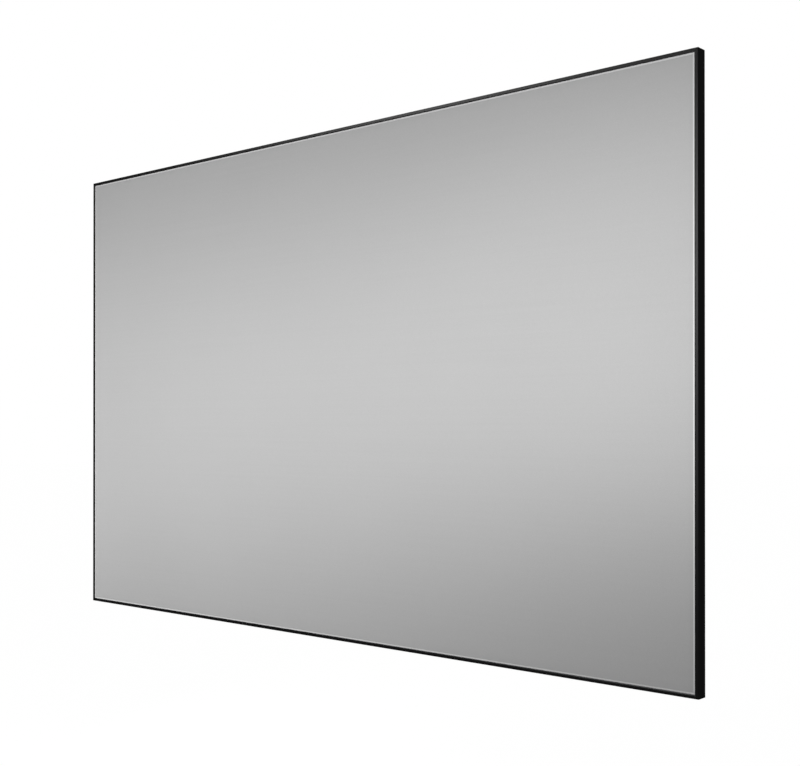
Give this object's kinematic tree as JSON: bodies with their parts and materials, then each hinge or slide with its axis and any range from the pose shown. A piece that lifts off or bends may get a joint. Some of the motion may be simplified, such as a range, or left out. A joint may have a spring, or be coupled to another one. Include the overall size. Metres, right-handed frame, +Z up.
{
  "type": "fixed frame projector screen",
  "caption": "Wall-hung projection screen: a flat grey sheet stretched by springs over a jointed aluminium frame, edged by a thin black clip-on trim.",
  "frame": {"origin": "middle of the frame's box: halfway across, halfway up and halfway through its depth", "axes": "+X to the right as seen from the front, +Y back towards the wall, +Z up; the picture faces -Y"},
  "size_m": [2.172, 0.03, 1.364],
  "materials": {
    "sheet": "matte",
    "trim": "satin",
    "rail": "satin",
    "bar": "satin",
    "cast": "matte",
    "spring_steel": "satin",
    "zinc": "satin",
    "screw": "satin"
  },
  "bodies": {
    "root": {"projection_sheet": "sheet", "bezel_trim_top": "trim", "tension_rod_top": "spring_steel", "bezel_trim_right": "trim", "tension_rod_right": "spring_steel", "bezel_trim_bottom": "trim", "tension_rod_bottom": "spring_steel", "bezel_trim_left": "trim", "tension_rod_left": "spring_steel", "rail_top_left": "rail", "rail_top_right": "rail", "rail_bottom_left": "rail", "rail_bottom_right": "rail", "rail_left": "rail", "rail_right": "rail", "corner_insert_top_left": "cast", "corner_screw_top_left_1": "screw", "corner_screw_top_left_2": "screw", "corner_screw_top_left_3": "screw", "corner_screw_top_left_4": "screw", "wall_bracket_top_left": "zinc", "corner_insert_top_right": "cast", "corner_screw_top_right_1": "screw", "corner_screw_top_right_2": "screw", "corner_screw_top_right_3": "screw", "corner_screw_top_right_4": "screw", "wall_bracket_top_right": "zinc", "corner_insert_bottom_right": "cast", "corner_screw_bottom_right_1": "screw", "corner_screw_bottom_right_2": "screw", "corner_screw_bottom_right_3": "screw", "corner_screw_bottom_right_4": "screw", "wall_bracket_bottom_right": "zinc", "corner_insert_bottom_left": "cast", "corner_screw_bottom_left_1": "screw", "corner_screw_bottom_left_2": "screw", "corner_screw_bottom_left_3": "screw", "corner_screw_bottom_left_4": "screw", "wall_bracket_bottom_left": "zinc", "splice_bar_top": "cast", "support_tie_top": "zinc", "splice_screw_top_1": "screw", "splice_screw_top_2": "screw", "splice_screw_top_3": "screw", "splice_screw_top_4": "screw", "support_screw_top_1": "screw", "support_screw_top_2": "screw", "splice_bar_bottom": "cast", "support_tie_bottom": "zinc", "splice_screw_bottom_1": "screw", "splice_screw_bottom_2": "screw", "splice_screw_bottom_3": "screw", "splice_screw_bottom_4": "screw", "support_screw_bottom_1": "screw", "support_screw_bottom_2": "screw", "support_bar": "bar"}
  },
  "joints": []
}
